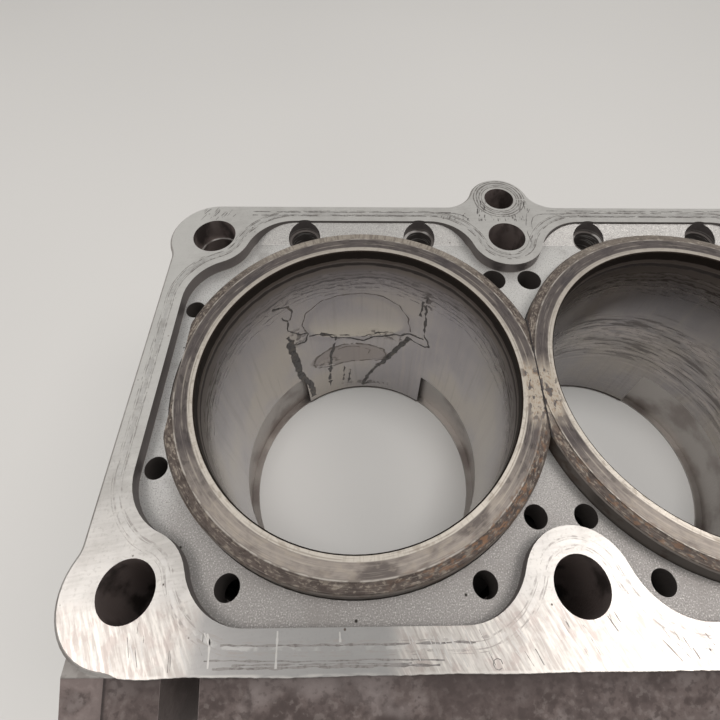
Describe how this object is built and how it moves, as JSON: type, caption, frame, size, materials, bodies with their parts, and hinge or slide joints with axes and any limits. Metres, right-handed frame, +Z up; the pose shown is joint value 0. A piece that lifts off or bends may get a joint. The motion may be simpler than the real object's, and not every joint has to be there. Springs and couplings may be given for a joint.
{
  "type": "engine block",
  "caption": "Water-cooled cylinder block casting with flanged wet liners standing in a machined deck trough, through-bolt bosses and an ear at the rear.",
  "frame": {"origin": "centre of the base face, midway between the bores on the bore line", "axes": "+X along the cylinder row, +Y to the side with the ear, +Z up along the bores to the deck"},
  "size_m": [0.2386, 0.1659, 0.1076],
  "materials": {
    "cast_aluminium": "machined deck, shot-blasted trough, rough cast sides",
    "liner_iron": "honed bore, worn and rust-stained flange",
    "seal_rubber": "matt black",
    "plug_steel": "dull pressed steel",
    "washer_copper": "dull copper"
  },
  "bodies": {
    "root": {"block_casting": "cast_aluminium", "cylinder_liner_1": "liner_iron", "cylinder_liner_2": "liner_iron", "seal_ring_1_upper": "seal_rubber", "seal_ring_1_lower": "seal_rubber", "seal_ring_2_upper": "seal_rubber", "seal_ring_2_lower": "seal_rubber", "core_plug_front_1": "plug_steel", "core_plug_front_2": "plug_steel", "core_plug_rear_1": "plug_steel", "core_plug_rear_2": "plug_steel", "drain_plug": "plug_steel", "drain_plug_washer": "washer_copper"}
  },
  "joints": []
}
